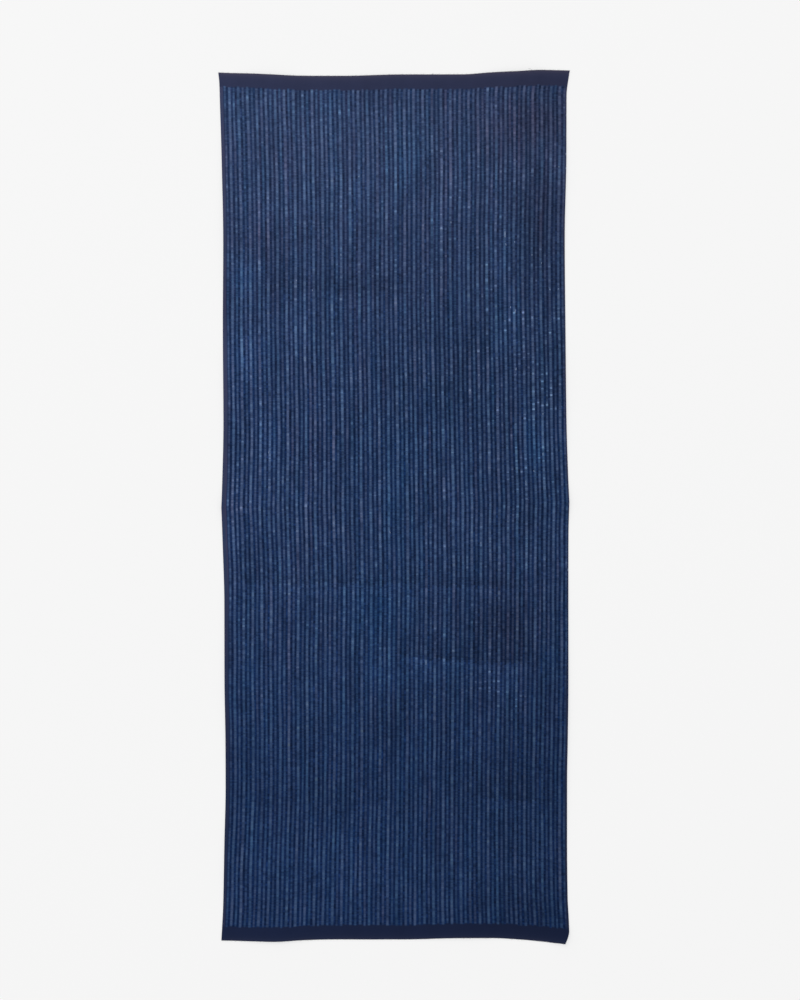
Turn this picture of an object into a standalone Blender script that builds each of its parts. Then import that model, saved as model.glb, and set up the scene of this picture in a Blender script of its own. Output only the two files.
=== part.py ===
"""A tenugui towel: one length of striped indigo cotton, spread out flat and face up.

Metres, +Z up. X runs across the cloth and Y along it. The origin is the middle of the
cloth's outline, on the surface that the cloth lies on. The sizes below are millimetres.
"""

import math
from bisect import bisect_right
from collections import namedtuple

import bmesh
import bpy

MM = 0.001

# The sheet, and the cells that it is divided into.
THICKNESS = 1.0
CELLS_ACROSS = 30
CELLS_ALONG = 64
ROW_CROWDING = 0.5
SHARP_ANGLE_DEG = 30.0

# The cross-fold pressed into the middle: where it meets each selvedge, how high its ridge
# stands, how far the cloth leans up to it on each side, and how much the height wanders.
FOLD_AT_LEFT = -1.0
FOLD_AT_RIGHT = 5.0
FOLD_HEIGHT = 3.0
FOLD_REACH = 34.0
FOLD_WANDER = 0.22
FOLD_WANDER_LENGTH = 170.0

# The selvedges: how far along from the fold, and how far out the left and right ones lie.
Station = namedtuple("Station", "along left right")
SIDES = [
    Station(*row)
    for row in (
        (450.0, -181.8, 182.5),
        (440.0, -180.7, 180.8),
        (420.0, -180.1, 178.5),
        (358.0, -178.2, 178.3),
        (274.0, -176.6, 176.6),
        (190.0, -177.1, 177.3),
        (88.0, -176.4, 178.3),
        (26.0, -177.7, 180.2),
        (0.0, -178.5, 181.3),
        (-36.0, -177.3, 180.5),
        (-98.0, -175.5, 180.4),
        (-180.0, -175.3, 180.4),
        (-245.0, -174.3, 179.7),
        (-290.0, -174.2, 179.0),
        (-346.0, -175.4, 179.0),
        (-408.0, -176.6, 179.6),
        (-434.0, -177.8, 180.9),
        (-444.0, -178.4, 181.2),
        (-450.0, -178.6, 180.0),
        (-457.0, -178.6, 177.0),
    )
]

# The cut ends: how far across, and how far along the top and bottom edges lie there.
EndStation = namedtuple("EndStation", "across top bottom")
ENDS = [
    EndStation(*row)
    for row in (
        (-181.0, 449.2, -448.5),
        (-147.0, 447.9, -449.3),
        (-126.0, 446.9, -449.7),
        (-95.0, 445.9, -448.1),
        (-50.0, 445.8, -447.2),
        (8.0, 447.2, -447.4),
        (70.0, 447.4, -445.9),
        (101.0, 449.1, -445.9),
        (132.0, 450.5, -447.5),
        (153.0, 451.8, -449.1),
        (174.0, 451.5, -451.3),
        (181.0, 451.3, -451.8),
    )
]

# Where the cloth doesn't quite lie down: the middle of each swell, how far it reaches both
# ways, and its height. Between the swells the underside is flat on the surface.
Swell = namedtuple("Swell", "across along reach_across reach_along height")
SWELLS = {
    "top end, left": Swell(-128.0, 453.0, 46.0, 40.0, 2.8),
    "top end, middle": Swell(-14.0, 449.0, 58.0, 28.0, 1.3),
    "top end, right": Swell(126.0, 455.0, 48.0, 48.0, 3.8),
    "bottom end, left": Swell(-122.0, -453.0, 48.0, 40.0, 2.6),
    "bottom end, middle": Swell(72.0, -449.0, 60.0, 30.0, 1.8),
    "bottom right corner": Swell(187.0, -461.0, 33.0, 33.0, 5.6),
    "left selvedge, high": Swell(-178.0, 300.0, 30.0, 112.0, 1.9),
    "left selvedge, middle": Swell(-177.0, 116.0, 26.0, 78.0, 1.5),
    "left selvedge, low": Swell(-175.0, -178.0, 28.0, 124.0, 1.6),
    "left selvedge, foot": Swell(-176.0, -362.0, 25.0, 62.0, 1.3),
    "right selvedge, high": Swell(178.0, 330.0, 28.0, 96.0, 1.8),
    "right selvedge, middle": Swell(181.0, 112.0, 32.0, 92.0, 1.9),
    "right selvedge, low": Swell(181.0, -216.0, 29.0, 150.0, 1.8),
    "body, high": Swell(58.0, 214.0, 84.0, 138.0, 1.2),
    "body, low": Swell(-66.0, -236.0, 78.0, 116.0, 1.1),
}

# The cotton's own colour between its stripes, and its finish.
INDIGO = (0.018, 0.034, 0.088, 1.0)
COTTON_ROUGHNESS = 0.9
COTTON_SPECULAR = 0.2


def clear_scene():
    for old in list(bpy.data.objects):
        bpy.data.objects.remove(old, do_unlink=True)


def knot_slope(before, after):
    """The slope at a knot between two chords: level at a peak, so the curve never overshoots."""
    if before * after <= 0.0:
        return 0.0
    return 2.0 * before * after / (before + after)


def smooth_curve(knots):
    """A function that runs smoothly through (place, height) knots, in any order."""
    places, heights = zip(*sorted(knots))
    last = len(places) - 2
    chords = [(heights[i + 1] - heights[i]) / (places[i + 1] - places[i]) for i in range(last + 1)]
    inner = [knot_slope(before, after) for before, after in zip(chords, chords[1:])]
    slopes = [chords[0], *inner, chords[-1]]

    def height_at(place):
        i = min(max(bisect_right(places, place) - 1, 0), last)
        span = places[i + 1] - places[i]
        t = min(max((place - places[i]) / span, 0.0), 1.0)
        rise = t * t * (3.0 - 2.0 * t)
        lean_out = t * (1.0 - t) ** 2 * slopes[i]
        lean_in = t * t * (t - 1.0) * slopes[i + 1]
        return heights[i] + (heights[i + 1] - heights[i]) * rise + span * (lean_out + lean_in)

    return height_at


def selvedge(column):
    """A selvedge's place by the distance from the fold, one smooth curve on each side of it."""
    above = smooth_curve([(row.along, getattr(row, column)) for row in SIDES if row.along >= 0.0])
    below = smooth_curve([(row.along, getattr(row, column)) for row in SIDES if row.along <= 0.0])
    return lambda along: above(along) if along >= 0.0 else below(along)


LEFT_EDGE = selvedge("left")
RIGHT_EDGE = selvedge("right")
TOP_EDGE = smooth_curve([(row.across, row.top) for row in ENDS])
BOTTOM_EDGE = smooth_curve([(row.across, row.bottom) for row in ENDS])
HALF_WIDTH = RIGHT_EDGE(0.0)


def fold_line(side):
    """How far along the fold lies, from side -1 at the left selvedge to 1 at the right."""
    return FOLD_AT_LEFT + (FOLD_AT_RIGHT - FOLD_AT_LEFT) * (side + 1.0) / 2.0


def crowded(share):
    """Shares of a half's length, with the rows closer at the fold and at the cut end."""
    eased = (1.0 - math.cos(math.pi * share)) / 2.0
    return share + (eased - share) * ROW_CROWDING


def outline_place(side, end):
    """Across and along, for side -1 to 1 between the selvedges and end -1 to 1 between the ends."""
    edge = TOP_EDGE if end >= 0.0 else BOTTOM_EDGE
    fold = fold_line(side)
    from_fold = (edge(side * HALF_WIDTH) - fold) * crowded(abs(end))
    left = LEFT_EDGE(from_fold)
    right = RIGHT_EDGE(from_fold)
    return left + (right - left) * (side + 1.0) / 2.0, fold + from_fold


def fold_ridge(across, along):
    """The pressed fold stands as a low crisp ridge, a little uneven from side to side."""
    away = abs(along - fold_line(across / HALF_WIDTH)) / FOLD_REACH
    if away >= 1.0:
        return 0.0
    wander = 1.0 + FOLD_WANDER * math.sin(across * 2.0 * math.pi / FOLD_WANDER_LENGTH)
    return FOLD_HEIGHT * wander * (1.0 - away) ** 2


def swell_height(swell, across, along):
    """A round-topped bump that meets the flat cloth level at its reach."""
    off_across = (across - swell.across) / swell.reach_across
    off_along = (along - swell.along) / swell.reach_along
    away = off_across * off_across + off_along * off_along
    if away >= 1.0:
        return 0.0
    return swell.height * (1.0 - away) ** 2


def lie(across, along):
    """How far the cloth's underside stands off the surface."""
    swells = sum(swell_height(swell, across, along) for swell in SWELLS.values())
    return fold_ridge(across, along) + swells


def indigo_cotton():
    material = bpy.data.materials.new("indigo_cotton")
    material.use_nodes = True
    shader = material.node_tree.nodes["Principled BSDF"]
    shader.inputs["Base Color"].default_value = INDIGO
    shader.inputs["Roughness"].default_value = COTTON_ROUGHNESS
    shader.inputs["Specular IOR Level"].default_value = COTTON_SPECULAR
    shader.inputs["Metallic"].default_value = 0.0
    return material


def lay_out(sheet):
    """Move a square grid's points, from -1 to 1 both ways, to where the cloth's underside lies."""
    for point in sheet.verts:
        across, along = outline_place(point.co.x, point.co.y)
        point.co = (across * MM, along * MM, lie(across, along) * MM)


def thicken(sheet):
    """Raise the sheet's upper face by the cloth's thickness, with its edges closed."""
    raised = bmesh.ops.extrude_face_region(sheet, geom=list(sheet.faces), use_keep_orig=True)
    upper = [item for item in raised["geom"] if isinstance(item, bmesh.types.BMVert)]
    bmesh.ops.translate(sheet, verts=upper, vec=(0.0, 0.0, THICKNESS * MM))
    bmesh.ops.recalc_face_normals(sheet, faces=list(sheet.faces))


def make_cloth():
    """The towel, one piece: its hemless ends and its woven selvedges are edges of one sheet."""
    sheet = bmesh.new()
    bmesh.ops.create_grid(sheet, x_segments=CELLS_ACROSS, y_segments=CELLS_ALONG, size=1.0)
    lay_out(sheet)
    thicken(sheet)
    mesh = bpy.data.meshes.new("cloth")
    sheet.to_mesh(mesh)
    sheet.free()
    mesh.shade_smooth()
    mesh.set_sharp_from_angle(angle=math.radians(SHARP_ANGLE_DEG))
    mesh.materials.append(indigo_cotton())
    cloth = bpy.data.objects.new("cloth", mesh)
    bpy.context.scene.collection.objects.link(cloth)
    return cloth


clear_scene()
make_cloth()
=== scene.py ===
"""The looks of a tenugui: one thin sheet of striped indigo cotton, spread out face up.

The frame is the solid model's: metres, +Z up, X across the cloth and Y along it, with the
origin under the middle of the cloth. Sizes below are millimetres unless they say otherwise.
Places on the cloth are given across from its middle line and along from its cross-fold.
"""

import math
import random
from bisect import bisect_right
from collections import namedtuple

import bpy
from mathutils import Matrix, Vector, noise


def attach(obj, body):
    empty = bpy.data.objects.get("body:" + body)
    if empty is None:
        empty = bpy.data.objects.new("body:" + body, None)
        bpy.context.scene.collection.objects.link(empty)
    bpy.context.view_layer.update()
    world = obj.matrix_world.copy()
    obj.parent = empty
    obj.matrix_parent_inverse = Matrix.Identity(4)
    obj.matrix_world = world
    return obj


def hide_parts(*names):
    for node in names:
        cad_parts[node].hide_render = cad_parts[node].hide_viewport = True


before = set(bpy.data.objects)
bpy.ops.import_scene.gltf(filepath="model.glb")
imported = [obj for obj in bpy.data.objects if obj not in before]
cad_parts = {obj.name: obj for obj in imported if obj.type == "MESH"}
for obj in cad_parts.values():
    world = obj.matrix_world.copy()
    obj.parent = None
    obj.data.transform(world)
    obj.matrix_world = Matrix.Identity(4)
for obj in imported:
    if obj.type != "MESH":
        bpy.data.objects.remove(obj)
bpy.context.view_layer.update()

MM = 0.001
MM_PER_M = 1000.0
BODY = "root"
CLOTH_NODE = "cloth"


def rows(kind, *table):
    return [kind(*row) for row in table]


# The photograph's frame: its height in pixels, what a pixel shows of the cloth, and how far
# the middle of the picture lies from the middle of the cloth.
PICTURE_HEIGHT_PX = 1000
MM_PER_PX = 1.0345
VIEW_CENTRE = (6.2, 7.1)
CAMERA_HEIGHT = 4000.0
SENSOR_LONG_SIDE = 36.0

# The sheet as woven: its flat size, its thickness, and the cells that its faces are cut into.
WOVEN_WIDTH = 355.9
WOVEN_LENGTH = 897.0
THICKNESS = 0.45
SELVEDGE_SWELL = 0.12
SELVEDGE_WIDTH = 3.0
CELLS_ACROSS = 132
CELLS_ALONG = 320
ROW_CROWDING = 0.3
SHARP_ANGLE_DEG = 40.0

# The cross-fold pressed into the middle, as in the solid.
FOLD_AT_LEFT = -1.0
FOLD_AT_RIGHT = 5.0
FOLD_HEIGHT = 3.0
FOLD_REACH = 34.0
FOLD_WANDER = 0.22
FOLD_WANDER_LENGTH = 170.0

# The selvedges: how far along from the fold, and how far out the left and right ones lie.
Station = namedtuple("Station", "along left right")
SIDES = rows(
    Station,
    (450.0, -181.8, 182.5),
    (440.0, -180.7, 180.8),
    (420.0, -180.1, 178.5),
    (358.0, -178.2, 178.3),
    (274.0, -176.6, 176.6),
    (190.0, -177.1, 177.3),
    (88.0, -176.4, 178.3),
    (26.0, -177.7, 180.2),
    (0.0, -178.5, 181.3),
    (-36.0, -177.3, 180.5),
    (-98.0, -175.5, 180.4),
    (-180.0, -175.3, 180.4),
    (-245.0, -174.3, 179.7),
    (-290.0, -174.2, 179.0),
    (-346.0, -175.4, 179.0),
    (-408.0, -176.6, 179.6),
    (-434.0, -177.8, 180.9),
    (-444.0, -178.4, 181.2),
    (-450.0, -178.6, 180.0),
    (-457.0, -178.6, 177.0),
)

# The cut ends: how far across, and how far along the top and bottom edges lie there.
EndStation = namedtuple("EndStation", "across top bottom")
ENDS = rows(
    EndStation,
    (-181.0, 449.2, -448.5),
    (-147.0, 447.9, -449.3),
    (-126.0, 446.9, -449.7),
    (-95.0, 445.9, -448.1),
    (-50.0, 445.8, -447.2),
    (8.0, 447.2, -447.4),
    (70.0, 447.4, -445.9),
    (101.0, 449.1, -445.9),
    (132.0, 450.5, -447.5),
    (153.0, 451.8, -449.1),
    (174.0, 451.5, -451.3),
    (181.0, 451.3, -451.8),
)

# Where the cloth doesn't quite lie down: the middle of each swell, how far it reaches both
# ways, and its height, as in the solid.
Swell = namedtuple("Swell", "across along reach_across reach_along height")
SWELLS = {
    "top end, left": Swell(-128.0, 453.0, 46.0, 40.0, 2.8),
    "top end, middle": Swell(-14.0, 449.0, 58.0, 28.0, 1.3),
    "top end, right": Swell(126.0, 455.0, 48.0, 48.0, 3.8),
    "bottom end, left": Swell(-122.0, -453.0, 48.0, 40.0, 2.6),
    "bottom end, middle": Swell(72.0, -449.0, 60.0, 30.0, 1.8),
    "bottom right corner": Swell(187.0, -461.0, 33.0, 33.0, 5.6),
    "left selvedge, high": Swell(-178.0, 300.0, 30.0, 112.0, 1.9),
    "left selvedge, middle": Swell(-177.0, 116.0, 26.0, 78.0, 1.5),
    "left selvedge, low": Swell(-175.0, -178.0, 28.0, 124.0, 1.6),
    "left selvedge, foot": Swell(-176.0, -362.0, 25.0, 62.0, 1.3),
    "right selvedge, high": Swell(178.0, 330.0, 28.0, 96.0, 1.8),
    "right selvedge, middle": Swell(181.0, 112.0, 32.0, 92.0, 1.9),
    "right selvedge, low": Swell(181.0, -216.0, 29.0, 150.0, 1.8),
    "body, high": Swell(58.0, 214.0, 84.0, 138.0, 1.2),
    "body, low": Swell(-66.0, -236.0, 78.0, 116.0, 1.1),
}

# Faint creases left where the towel was folded smaller: how far along, half-width, height.
# They bend a little, and are broken, over these lengths.
Crease = namedtuple("Crease", "along reach height")
CREASES = (
    Crease(221.0, 7.0, 0.35),
    Crease(-226.0, 8.0, 0.45),
)
CREASE_BEND = 1.5
CREASE_BEND_LENGTH = 60.0
CREASE_BREAK_LENGTH = 45.0

# Small unevenness of the lie, and the puckers along each selvedge.
RUMPLE_HEIGHT = 0.30
RUMPLE_LENGTH = 34.0
PUCKER_HEIGHT = 0.28
PUCKER_LENGTH = 13.0
PUCKER_REACH = 9.0

# Which slice of the noise each of these takes, so that no two match.
RUMPLE_LAYER = 3.0
PUCKER_LAYER = 7.0
PUCKER_ROW = 3.0
CREASE_BEND_LAYER = 20.0
CREASE_BREAK_LAYER = 30.0

# Soft unevenness: how far across and along each swing of it reaches, and its strength.
Mottle = namedtuple("Mottle", "across along amount")

# The weave: the pitch of the warp, which runs along the cloth, and of the weft, which
# crosses it, how the warp yarns stray from straight, and the radius of a loose yarn.
WARP_PITCH = 0.5224
WEFT_PITCH = 0.56
YARN_WANDER = Mottle(7.0, 45.0, 0.9)
YARN_RADIUS = 0.11

# How strongly the weave shows in the pale lines, and its relief: the yarns' crossings, the
# ribs of the warp and the thicker wefts, then the whole relief's depth and strength.
WEAVE_IN_LINES = 0.6
WEAVE_RELIEF = 0.6
RIB_RELIEF = 0.35
THICK_WEFTS = Mottle(9.0, 0.8, 0.35)
WEAVE_DEPTH_M = 0.00012
WEAVE_STRENGTH = 0.5

# The stripes: fine lines along the cloth, by turns strong and weak. Nine warp yarns lie from
# each line's middle to the next one's. The first strong line is number 0, and the odd ones
# are weak. A line is a little wider where it is paler.
HALF_REPEAT = 9.0 * WARP_PITCH
FIRST_STRONG = 10.29
FIRST_LINE = -1
LAST_LINE = 73
STRONG_HALF_WIDTH = 0.95
WEAK_HALF_WIDTH = 0.62
LINE_SOFTNESS = 1.1
WEAK_STRENGTH = 0.70
LINE_BEADING = 0.3

# How far the lines are drawn sideways, to the right, by how far along and for the left,
# middle and right of the cloth.
Drift = namedtuple("Drift", "along left middle right")
DRIFTS = rows(
    Drift,
    (449.0, -0.8, -0.1, 0.8),
    (387.0, -0.8, 0.0, 0.8),
    (301.0, -0.9, 0.15, 1.05),
    (215.0, -0.4, 0.2, 0.85),
    (129.0, 0.05, 0.8, 1.6),
    (43.0, 0.5, 1.2, 1.3),
    (-43.0, 0.9, 1.5, 1.2),
    (-128.0, 0.35, 0.7, 1.1),
    (-214.0, 0.05, 0.05, 0.3),
    (-300.0, -0.3, -0.1, 0.1),
    (-386.0, -1.3, -0.3, 0.4),
    (-449.0, -1.4, -0.4, 0.5),
)

# A steady sway of the lines besides, to the right: by side, from -1 to 1 across the cloth.
WARP_SWAY = (
    (-1.0, 0.4),
    (-0.9, -0.1),
    (-0.6, -0.3),
    (0.0, 0.0),
    (0.5, 0.25),
    (0.8, 0.0),
    (0.96, -0.75),
    (1.0, -1.1),
)

# How uneven the dye is from thread to thread: the length of its swings along the cloth, and
# how much they change the pale lines and the dark ground between them. The last column
# shifts the pattern from one thread to the next.
Swing = namedtuple("Swing", "length lines ground stride")
TONE_SWINGS = (
    Swing(45.0, 0.85, 0.45, 3.7),
    Swing(14.0, 0.65, 0.25, 7.9),
    Swing(4.2, 0.85, 0.45, 5.3),
    Swing(1.6, 0.85, 1.1, 9.1),
)
THREAD_LUCK = 0.08

# Sparks: short runs of the pale yarn that took least dye. How long they are, how rare and
# how much they brighten the line.
SPARK_LENGTH = 3.6
SPARK_THRESHOLD = 0.13
SPARK_GAIN = 7.0
SPARK_STRIDE = 11.3

# Their clusters: how far across and along they reach, between which levels of the noise they
# begin and are full, and how many of the sparks are left between them.
SPARK_CLUSTER = (24.0, 42.0)
CLUSTER_LEVELS = (-0.25, 0.15)
BETWEEN_CLUSTERS = 0.25

# How many sparks there are over the whole cloth, how many more towards the head, and over
# which stretch along the cloth that rises.
SPARKS_EVERYWHERE = 0.12
SPARKS_ABOVE = 0.26
SPARKS_START = (-280.0, -120.0)

# Where there are more of them still.
SparkPatch = namedtuple("SparkPatch", "across along reach_across reach_along amount")
SPARK_PATCHES = rows(
    SparkPatch,
    (145.0, 125.0, 55.0, 135.0, 0.60),
    (60.0, 290.0, 70.0, 60.0, 0.22),
    (108.0, -198.0, 26.0, 24.0, 0.75),
    (55.0, -150.0, 40.0, 40.0, 0.25),
    (-160.0, 40.0, 24.0, 70.0, 0.22),
)

# How uneven the dye's hue is from thread to thread, from teal below 0 to violet above: the
# length of its swings, how strong they are and the shift from one thread to the next.
HueSwing = namedtuple("HueSwing", "length hue stride")
HUE_SWINGS = (
    HueSwing(70.0, 0.48, 2.9),
    HueSwing(13.0, 0.24, 6.1),
)
HUE_LUCK = 0.10
BLUE_SHARE = 0.12

# Cloudy dyeing besides, and fine streaks across the cloth. The plain bands have this share
# of it. No part of the cloth is darker than this share of the dye's own colour.
CLOUDS = Mottle(16.0, 60.0, 0.36)
CLOUD_DETAIL = 2.0
STREAKS = Mottle(26.0, 1.5, 0.12)
BAND_UNEVENNESS = 0.4
DARKEST_TONE = 0.3

# Where each noise starts along the cloth, and the seeds of what varies from thread to
# thread, so that no two match.
CLUSTER_START = 30.0
HUE_START = 50.0
SPARK_START = 90.0
LUCK_STRIDE = 1.37
TONE_SEED = 3.0
HUE_SEED = 17.0
LAP_SEED = 23.0
BAND_SEED = 71.0

# The plain bands at the cut ends: their depth at the left selvedge and at the right one,
# how unevenly the lines' threads reach them, and how soft the change is.
TOP_BAND = (14.3, 16.0)
BOTTOM_BAND = (14.5, 15.1)
BAND_RAGGED = 1.6
BAND_SOFTNESS = 0.9

# How much the lines fade towards the bands, and over what distance.
LINE_FADE = 0.17
LINE_FADE_REACH = 14.0

# The cloth's colours, linear, at the foot of the cloth and at its head, which is paler with painted
# light and painted sheen falling from the head end.
GROUND_FOOT = (0.0043, 0.0174, 0.0714)
GROUND_HEAD = (0.0176, 0.0338, 0.0950)
LINE_FOOT = (0.0345, 0.0695, 0.1600)
LINE_HEAD = (0.0700, 0.1145, 0.2340)
BAND_FOOT = (0.0110, 0.0182, 0.0535)
BAND_HEAD = (0.0316, 0.0391, 0.0890)
SELVEDGE_FOOT = (0.0175, 0.0265, 0.0680)
SELVEDGE_HEAD = (0.0500, 0.0580, 0.1230)

# How wide the selvedges' own colour is, and how much the frayed cut edge pales and greys: the paling is
# painted sheen where its loosened fibres catch the light, the greying their own tint.
LEFT_SELVEDGE = 3.9
RIGHT_SELVEDGE = 1.4
SELVEDGE_BLUR = 0.5
CUT_SHEEN_PALING = 0.6
CUT_REDDENING = 0.3
CUT_FRAY_SHEEN_REACH = 3.0

# How much painted light and painted sheen the cloth has down its length, falling from the head end:
# along, share of the way from foot to head, for the lines and for the ground between them. The cloth
# also pales from right to left.
LINE_PAINTED_LIGHT = (
    (449.0, 1.0),
    (360.0, 0.98),
    (234.0, 0.62),
    (120.0, 0.72),
    (40.0, 0.66),
    (-40.0, 0.55),
    (-120.0, 0.34),
    (-200.0, 0.14),
    (-290.0, 0.03),
    (-449.0, 0.06),
)
GROUND_PAINTED_LIGHT = (
    (449.0, 1.0),
    (400.0, 0.98),
    (320.0, 0.72),
    (234.0, 0.50),
    (148.0, 0.26),
    (63.0, 0.12),
    (-110.0, 0.10),
    (-280.0, 0.0),
    (-449.0, 0.0),
)
PALER_LEFT = 0.11

# Uneven dyeing: soft patches, with their tone, paler above 0 and darker below, and their
# hue, from teal below 0 to violet above.
Patch = namedtuple("Patch", "across along reach_across reach_along tone hue", defaults=(0.0,))
PATCHES = rows(
    Patch,
    (-75, 400, 28, 22, 0.08),
    (-30, 335, 16, 26, 0.20),
    (-95, 345, 40, 30, 0.0, 0.05),
    (45, 310, 22, 20, 0.12),
    (12, 365, 14, 44, 0.06, -0.11),
    (100, 395, 24, 30, -0.06, 0.16),
    (150, 400, 34, 28, -0.22, 0.26),
    (152, 315, 22, 40, -0.18, 0.13),
    (148, 265, 18, 40, -0.18),
    (114, 262, 12, 30, 0.16, -0.10),
    (118, 185, 14, 44, 0.16, -0.16),
    (-130, 278, 44, 20, -0.12, 0.10),
    (-152, 240, 12, 16, 0.24, -0.12),
    (-60, 230, 74, 15, -0.14),
    (-95, 182, 16, 22, 0.12),
    (53, 185, 10, 26, 0.0, -0.14),
    (80, 165, 24, 24, -0.16, -0.06),
    (163, 163, 14, 18, -0.14),
    (-157, 150, 20, 32, 0.34, -0.08),
    (60, 112, 62, 26, -0.12, -0.06),
    (-132, 72, 14, 38, 0.18, -0.08),
    (147, 62, 15, 34, 0.18, -0.24),
    (30, 60, 80, 50, 0.0, -0.06),
    (5, 45, 16, 50, 0.04, -0.10),
    (3, -20, 24, 50, 0.08, -0.16),
    (-75, -30, 40, 40, 0.0, 0.06),
    (-165, -35, 16, 20, 0.16),
    (70, -15, 20, 30, 0.10),
    (172, -45, 7, 24, 0.20),
    (-148, -98, 12, 18, 0.0, -0.13),
    (-22, -112, 30, 34, 0.12, -0.28),
    (90, -120, 26, 30, -0.16),
    (125, -128, 22, 34, -0.20, 0.18),
    (-14, -172, 20, 24, 0.08, -0.20),
    (40, -170, 36, 12, 0.10, -0.08),
    (112, -182, 14, 14, 0.16),
    (160, -158, 10, 18, 0.0, -0.15),
    (-150, -178, 14, 18, 0.12, -0.10),
    (62, -190, 12, 70, 0.0, -0.10),
    (-2, -218, 18, 24, -0.16),
    (-155, -255, 20, 14, -0.08),
    (125, -285, 40, 36, -0.12),
    (-70, -300, 60, 16, -0.10),
    (-40, -375, 70, 38, 0.12),
    (118, -415, 52, 24, -0.12),
)

# Laps where the dye bath's edge rested, dark above and paler below: how far along each lies
# at its left and right ends, how far across it runs, and how strongly it shows.
Lap = namedtuple("Lap", "left_along right_along left right tone")
LAPS = (
    Lap(-78.0, -84.0, -165.0, 132.0, 0.16),
    Lap(-155.0, -163.0, 6.0, 134.0, 0.24),
    Lap(-300.0, -307.0, 84.0, 158.0, 0.16),
    Lap(224.0, 219.0, -120.0, 20.0, 0.08),
    Lap(121.0, 118.0, -20.0, 60.0, 0.08),
)
LAP_FADE = 10.0
LAP_WINDOW = 14.0
LAP_RAGGED = 6.0
LAP_SHARPNESS = 1.2

# Slubs: pale lumps in the yarn that took little dye, and their half-width and half-length.
Slub = namedtuple("Slub", "across along half_width half_length")
SLUBS = rows(
    Slub,
    (114.8, 281.8, 0.62, 4.4),
    (115.7, 271.5, 0.40, 1.8),
    (125.3, 202.7, 0.46, 2.3),
    (120.4, 206.5, 0.44, 1.6),
    (142.7, 260.6, 0.42, 1.2),
    (152.6, 252.3, 0.38, 1.0),
    (161.3, 224.9, 0.54, 1.4),
    (170.0, 225.6, 0.48, 1.1),
    (124.8, 274.0, 0.36, 1.2),
    (154.1, 96.1, 0.56, 1.2),
    (154.1, 54.7, 0.46, 1.9),
    (144.8, 37.1, 0.44, 1.1),
    (136.5, 23.5, 0.36, 3.8),
    (126.2, 142.7, 0.52, 1.9),
    (87.9, 136.5, 0.44, 1.8),
    (87.9, 124.6, 0.44, 1.4),
    (114.8, 192.3, 0.42, 1.1),
    (58.9, 294.2, 0.50, 1.5),
    (170.6, 351.6, 0.48, 1.1),
    (89.9, -37.3, 0.42, 1.1),
    (29.9, 216.1, 0.40, 1.1),
    (48.6, 237.3, 0.40, 1.4),
    (12.4, 135.4, 0.34, 3.6),
    (33.1, -161.0, 0.36, 3.2),
    (-4.2, -26.0, 0.38, 1.9),
    (-36.3, 341.8, 0.44, 1.4),
    (-80.7, -43.0, 0.38, 1.4),
    (-129.4, 56.8, 0.36, 2.9),
    (-138.7, 245.1, 0.40, 1.4),
    (-101.0, 234.0, 0.42, 1.2),
    (-54.9, 260.6, 0.36, 1.4),
    (-84.5, 224.0, 0.36, 1.2),
)

# Knots of pale yarn on the right selvedge: how far along, half-width and half-length.
SelvedgeKnot = namedtuple("SelvedgeKnot", "along half_width half_length")
KNOTS = rows(
    SelvedgeKnot,
    (405.0, 0.30, 1.6),
    (365.1, 0.45, 1.5),
    (350.1, 0.42, 1.2),
    (-65.0, 0.40, 1.6),
)

# Loose threads at the cut ends, each by the places that it passes through, and how far each
# place stands over the surface.
LooseThread = namedtuple("LooseThread", "radius places")
LOOSE_THREADS = {
    "whisker at the top": LooseThread(
        0.14, ((145.5, 448.6, 4.2), (143.2, 450.6, 4.9), (140.6, 452.6, 5.3), (138.8, 453.4, 5.0))
    ),
    "nib at the top": LooseThread(
        0.22, ((39.6, 446.4, 0.9), (40.0, 447.6, 1.1), (40.6, 448.7, 1.0))
    ),
    "nib beside the top left corner": LooseThread(
        0.16, ((-127.0, 446.2, 3.3), (-127.6, 447.4, 3.6), (-128.5, 448.1, 3.4))
    ),
    "curl at the bottom right corner": LooseThread(
        0.15, ((172.0, -450.4, 3.0), (175.2, -452.2, 4.1), (177.6, -451.6, 5.0), (178.2, -449.2, 5.2))
    ),
}

# Weft yarns that have slipped off the cut ends a little: where each starts and stops across,
# how far outside the edge its middle bows, and which end it is at.
SlippedWeft = namedtuple("SlippedWeft", "start stop bow end")
SLIPPED_WEFTS = rows(
    SlippedWeft,
    (78.0, 156.0, 0.35, 1),
    (-166.0, -112.0, 0.25, 1),
    (141.0, 172.0, 0.45, -1),
    (-70.0, -12.0, 0.25, -1),
)

# How far apart their bends are, how uneven the bow is, how far inside the edge they start,
# how far they stand over the cloth, and how full they are beside a yarn of the fringe.
SLIPPED_STEP = 2.5
SLIPPED_UNEVENNESS = (0.7, 1.3)
SLIPPED_INSIDE = 0.1
SLIPPED_LIFT = 0.05
SLIPPED_FULLNESS = 1.3

# The warp's cut ends, which stick out past the last weft by a little: their length, of which
# some keep only a share, their splay and how much of it they have halfway, their droop, how
# far inside the edge they start, and how they taper.
FRINGE_SHORTEST = 0.25
FRINGE_LONGEST = 1.05
FRINGE_SHORT_SHARE = 0.4
FRINGE_SPLAY = 0.35
FRINGE_SPLAY_HALFWAY = 0.4
FRINGE_DROOP = (-0.10, 0.12)
FRINGE_ROOT = 0.3
FRINGE_TAPER = (1.0, 0.9, 0.45)
LOOSE_TIP = 0.4
FRINGE_SEED = 41
THREAD_SIDES = 3

# A slub's shape: how full it is at these shares of its half-length, how uneven and askew,
# and what share of its half-width it is sunk into the cloth. The knots are sunk less.
SLUB_PROFILE = ((-1.0, 0.25), (-0.6, 0.75), (-0.15, 1.0), (0.3, 0.9), (0.7, 0.6), (1.0, 0.2))
SLUB_UNEVENNESS = (0.85, 1.15)
SLUB_ASKEW = 0.15
SLUB_SINK = 0.55
KNOT_SINK = 0.2
KNOT_INSET = 0.4
SLUB_SEED = 17
SLUB_SIDES = 7

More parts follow.
